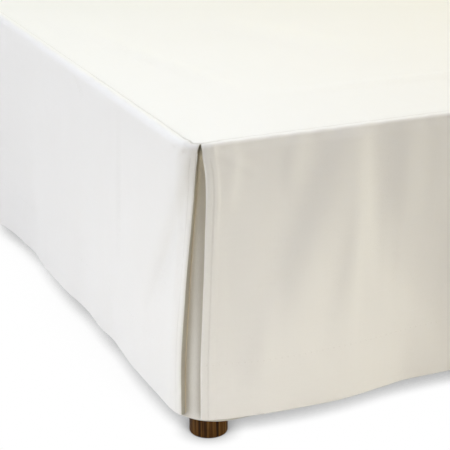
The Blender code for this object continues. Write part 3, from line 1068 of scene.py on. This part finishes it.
def slipped_corner(across, from_foot, border):
    """How far a point of the deck moves out and down, because its seam slips over the edge at the corner."""
    to_side, round_x, round_y = round_corner(across, from_foot)
    angle = np.arctan2(round_x, round_y + 1e-9)
    beyond = np.maximum(from_foot - DECK_CORNER, 0.0) - np.maximum(to_side - DECK_CORNER, 0.0)
    distance = TOP_CORNER_RADIUS * (angle - math.pi / 4) + beyond
    inset, height, _, _ = drape(seam_slip(distance, border) - border - (DECK_INSET - SEAM_INSET))
    out = DECK_INSET + border - inset
    return out * np.sin(angle) * np.sign(across), -out * np.cos(angle), height - TOP


def make_deck():
    half = HALF_WIDTH - DECK_INSET
    from_foot = spaced(*DECK_BORDER_STEPS, (BED_LENGTH - DECK_INSET, DECK_STEP))[::-1][:, None]
    from_side = spaced(*DECK_BORDER_STEPS, (half, DECK_STEP))
    across = np.concatenate((from_side - half, (half - from_side)[::-1][1:]))[None, :]
    missing = np.maximum(DECK_CORNER - from_foot, 0.0)
    narrowing = DECK_CORNER - np.sqrt(DECK_CORNER**2 - missing**2)
    across = across * (half - narrowing) / half
    border = deck_border(across, from_foot)
    counted = HALF_WIDTH - across
    lift = marks_relief(DECK_MARKS, counted, from_foot + DECK_INSET)
    lift += DECK_UNEVENNESS * unevenness(across, from_foot, 71, shortest=0.12, longest=0.7, upright=1.2)
    lift *= smooth_step(border / DECK_FLAT_BORDER)
    lift -= seam_depth(np.maximum(counted, from_foot)) * hump(border, 0.0, SEAM_WIDTH)
    out_x, out_y, sunk = slipped_corner(across, from_foot + 0 * across, border)
    x = across + out_x
    y = from_foot + DECK_INSET - HALF_LENGTH + CENTRE_SHIFT + out_y
    cloth_places = np.stack((counted, from_foot + 0 * across), -1)
    return sheet_object("deck_cloth", "deck", np.stack((x, y, TOP + lift + sunk), -1), cloth_places, cotton)


deck_cloth = make_deck()

# %% [markdown]
# ## Stitches
#
# The flaps are topstitched eight millimetres from their edge, and the hem is caught from behind with small
# blind stitches. Each is a tiny spindle of thread, half sunk in the cloth. A particle system could scatter
# them, but a loop over the panel's own surface puts each exactly on its line. One mesh holds all of a kind.

# %% Stitch lines
THREAD_RADIUS = 0.00024
SPINDLE_RINGS = (0.22, 0.78)  # shares of a stitch between which it is thickest
HEM_STITCH_INSET = 0.0022  # below the edge of the turned-up cloth
thread = woven_material("sewing_thread", *COTTON, 0.7, 0.15, 0.0003, 0.00002, paint_crevice_shade=False)


def spindle_mesh(starts, ends, facing, radius):
    """Points and faces of four-sided spindles from each start to its end."""
    run = ends - starts
    beside = np.cross(run, facing)
    beside /= np.linalg.norm(beside, axis=1)[:, None]
    points = [starts]
    for share in SPINDLE_RINGS:
        for c, s in ((1, 0), (0, 1), (-1, 0), (0, -1)):
            points.append(starts + share * run + radius * (c * beside + s * facing))
    points = np.stack(points + [ends], axis=1)
    faces = []
    for base in range(0, len(starts) * 10, 10):
        for k in range(4):
            after = (k + 1) % 4
            faces.append((base, base + 1 + k, base + 1 + after))
            faces.append((base + 1 + k, base + 5 + k, base + 5 + after, base + 1 + after))
            faces.append((base + 5 + k, base + 9, base + 5 + after))
    return points.reshape(-1, 3), faces


def travelled(points):
    """How far along a line each of its points lies."""
    return np.concatenate(([0.0], np.cumsum(np.linalg.norm(np.diff(points, axis=0), axis=1))))


def along_line(at, lengths, values):
    """The values at some distances along a line."""
    return np.stack([np.interp(at, lengths, column) for column in values.T], -1)


def stitch_object(name, lines, length, pitch):
    """Stitches of a length, one every pitch, along lines of places and outward directions."""
    starts, ends, directions = [], [], []
    for places, facing in lines:
        lengths = travelled(places)
        begin = np.arange(pitch / 2, lengths[-1] - pitch, pitch)
        starts.append(along_line(begin, lengths, places))
        ends.append(along_line(begin + length, lengths, places))
        directions.append(along_line(begin, lengths, facing))
    points, faces = spindle_mesh(*map(np.concatenate, (starts, ends, directions)), THREAD_RADIUS)
    obj = mesh_object(name, points, faces, thread)
    obj.data.uv_layers.new(name=CLOTH_MAP)
    print(name, len(points) // 10, "stitches")
    return put_in_place(obj)


FLAPS = ((FOOT, 1, HALF_WIDTH), (FOOT, -1, HALF_WIDTH), (RIGHT, 1, BED_LENGTH), (LEFT, -1, BED_LENGTH))


def stitch_line(panel, side, length, from_edge, down):
    from_edge, down = np.broadcast_arrays(from_edge, down)
    distance = place_of(panel, side, from_edge, down, length)
    return panel_surface(panel, side, distance, down, from_edge)[:2]


def flap_line(*flap):
    return stitch_line(*flap, TOPSTITCH_INSET, np.linspace(SHOULDER_END + 0.004, CUT_DROP - 0.001, 240))


def hem_line(panel, side, length):
    last = length if panel is FOOT else length - 0.01
    down = CUT_DROP - HEM_DEPTH + HEM_STITCH_INSET
    return stitch_line(panel, side, length, np.arange(0.002, last, 0.004), down)


topstitches = stitch_object("flap_topstitches", [flap_line(*flap) for flap in FLAPS], 0.0026, 0.0032)
hem_stitches = stitch_object("hem_stitches", [hem_line(*flap) for flap in FLAPS], 0.0012, 0.0080)

# %% [markdown]
# ## The base and the legs
#
# The base is a plain upholstered box, which the skirt hides except at its open head end. It is a ring of
# points pulled up its sides, with a raised seam near both edges. The legs are rigid, so the solid model's own
# cylinders stay and get a dark wood with upright grain.

# %% The upholstered base
BASE_INSET = 0.009
BASE_HEAD_INSET = 0.003
BASE_CORNER = INSERT_CORNER_RADIUS - BASE_INSET
TICKING = ((0.60, 0.55, 0.46, 1.0), (0.50, 0.45, 0.37, 1.0))
ticking = woven_material("base_cloth", *TICKING, 0.9, 0.15, 0.0016, 0.00016)


def rounded_ring(inset):
    """Plan points round the base, their outward directions and how far along the border each is."""
    right, low, high = HALF_WIDTH - BASE_INSET, BASE_INSET - HALF_LENGTH, HALF_LENGTH - BASE_HEAD_INSET
    right, low, high = right - BASE_CORNER, low + BASE_CORNER, high - BASE_CORNER
    outline, outward = [], []
    for x, y, start in ((right, low, -90), (right, high, 0), (-right, high, 90), (-right, low, 180)):
        for degree in np.linspace(start, start + 90, 13):
            turn = np.array((math.cos(math.radians(degree)), math.sin(math.radians(degree))))
            outline.append((x, y) + BASE_CORNER * turn)
            outward.append(turn)
    outline, outward = np.array(outline + outline[:1]), np.array(outward + outward[:1])
    lengths = travelled(outline)
    along = np.linspace(0.0, lengths[-1], 400)
    facing = along_line(along, lengths, outward)
    facing /= np.linalg.norm(facing, axis=1)[:, None]
    return along_line(along, lengths, outline) - facing * inset, facing, along


print("base corner radius", BASE_CORNER)

# %% Pulling the base up from its ring
BASE_LOW = 0.150 + 0.0003  # just above the legs
BASE_TOP = TOP - 0.0032
BASE_EDGE = 0.012
BASE_BULGE = 0.0015
SEAM_RIDGE = 0.0011
RIDGE_FROM_EDGE = 0.016
RIDGE_WIDTH = 0.0022
CAP_INSET = 0.040
BASE_UNEVENNESS = 0.0006


def base_rows():
    """Inset and height of each ring, from the flat bottom up the side and onto the top."""
    turns = np.linspace(0, math.pi / 2, 7)
    edge = [(BASE_EDGE * (1 - math.sin(turn)), BASE_EDGE * (1 - math.cos(turn))) for turn in turns]
    sides = spaced((0.006, 0.0015), (0.012, 0.003), (BASE_TOP - BASE_LOW - 2 * BASE_EDGE, 0.010))
    rows = [(CAP_INSET, BASE_LOW)] + [(inset, BASE_LOW + rise) for inset, rise in edge]
    rows += [(0.0, BASE_LOW + BASE_EDGE + rise) for rise in sides[1:-1]]
    return rows + [(inset, BASE_TOP - rise) for inset, rise in reversed(edge)] + [(CAP_INSET, BASE_TOP)]


def make_base():
    rings = []
    for inset, height in base_rows():
        share = np.clip((height - BASE_LOW) / (BASE_TOP - BASE_LOW), 0, 1)
        out = BASE_BULGE * np.sin(np.pi * share)
        for ridge in (BASE_LOW + RIDGE_FROM_EDGE, BASE_TOP - RIDGE_FROM_EDGE):
            out += SEAM_RIDGE * hump(height, ridge, RIDGE_WIDTH)
        ring, facing, along = rounded_ring(inset)
        level = np.full_like(along, height)
        uneven = BASE_UNEVENNESS * unevenness(along, level, 91, shortest=0.06, longest=0.4, upright=1.0)
        ring = ring + facing * (out + uneven * (inset == 0.0))[:, None]
        rings.append(np.column_stack((ring[:, 0], ring[:, 1] + CENTRE_SHIFT, level)))
    rings = np.array(rings)[:, :-1]
    count, around = rings.shape[:2]
    start = np.arange(count - 1)[:, None] * around
    here, after = start + np.arange(around), start + (np.arange(around) + 1) % around
    quads = np.stack((here, after, after + around, here + around), axis=-1).reshape(-1, 4)
    caps = [list(range(around))[::-1], list(range((count - 1) * around, count * around))]
    base = mesh_object("base_cover", rings, quads.tolist() + caps, ticking)
    corner_points = np.zeros(len(base.data.loops), dtype=np.int32)
    base.data.loops.foreach_get("vertex_index", corner_points)
    spot = rings.reshape(-1, 3)
    cloth_places = np.stack((np.tile(along[:-1], count), spot[:, 2]), -1)[corner_points]
    on_caps = len(quads) * 4
    cloth_places[on_caps:] = spot[corner_points[on_caps:], :2]
    set_cloth_map(base, cloth_places)
    base.data.set_sharp_from_angle(angle=math.radians(50))
    print("base cover", count, "by", around, "points")
    return put_in_place(base, "bed_base")


base_cover = make_base()

# %% Dark wood for the legs
WOOD_STOPS = (
    (0.38, (0.020, 0.0075, 0.0010, 1.0)),
    (0.50, (0.078, 0.031, 0.0035, 1.0)),
    (0.66, (0.235, 0.126, 0.030, 1.0)),
)
GRAIN_SCALE = (150.0, 150.0, 5.0)
PORE_SCALE = (520.0, 520.0, 14.0)
GRAIN_SHARE = 0.75  # of the tone, the rest from the pores
GRAIN_DEPTH = 0.0005
WOOD_ROUGHNESS = (0.50, 0.66)
WOOD_SPECULAR = 0.12


def wood_material():
    material, tree, shader = new_material("dark_wood")
    place = add_node(tree, "ShaderNodeTexCoord").outputs["Object"]
    places = [
        add_node(tree, "ShaderNodeMapping", {"Vector": place, "Scale": scale}).outputs[0]
        for scale in (GRAIN_SCALE, PORE_SCALE)
    ]
    grain, pores = noise(tree, places[0], 4.0, Roughness=0.6), noise(tree, places[1], 2.0)
    tone = blended(tree, grain, pores, GRAIN_SHARE)
    fill_inputs(tree, shader, {
        "Base Color": colour_ramp(tree, tone, WOOD_STOPS),
        "Normal": bumps(tree, tone, GRAIN_DEPTH, 0.5),
        "Roughness": remap(tree, grain, 0.0, 1.0, *WOOD_ROUGHNESS),
        "Specular IOR Level": WOOD_SPECULAR,
    })
    return material


wood = wood_material()
for name in ("leg_foot_right", "leg_foot_left", "leg_head_right", "leg_head_left"):
    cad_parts[name].material_slots[0].material = wood
print("wood on four legs")
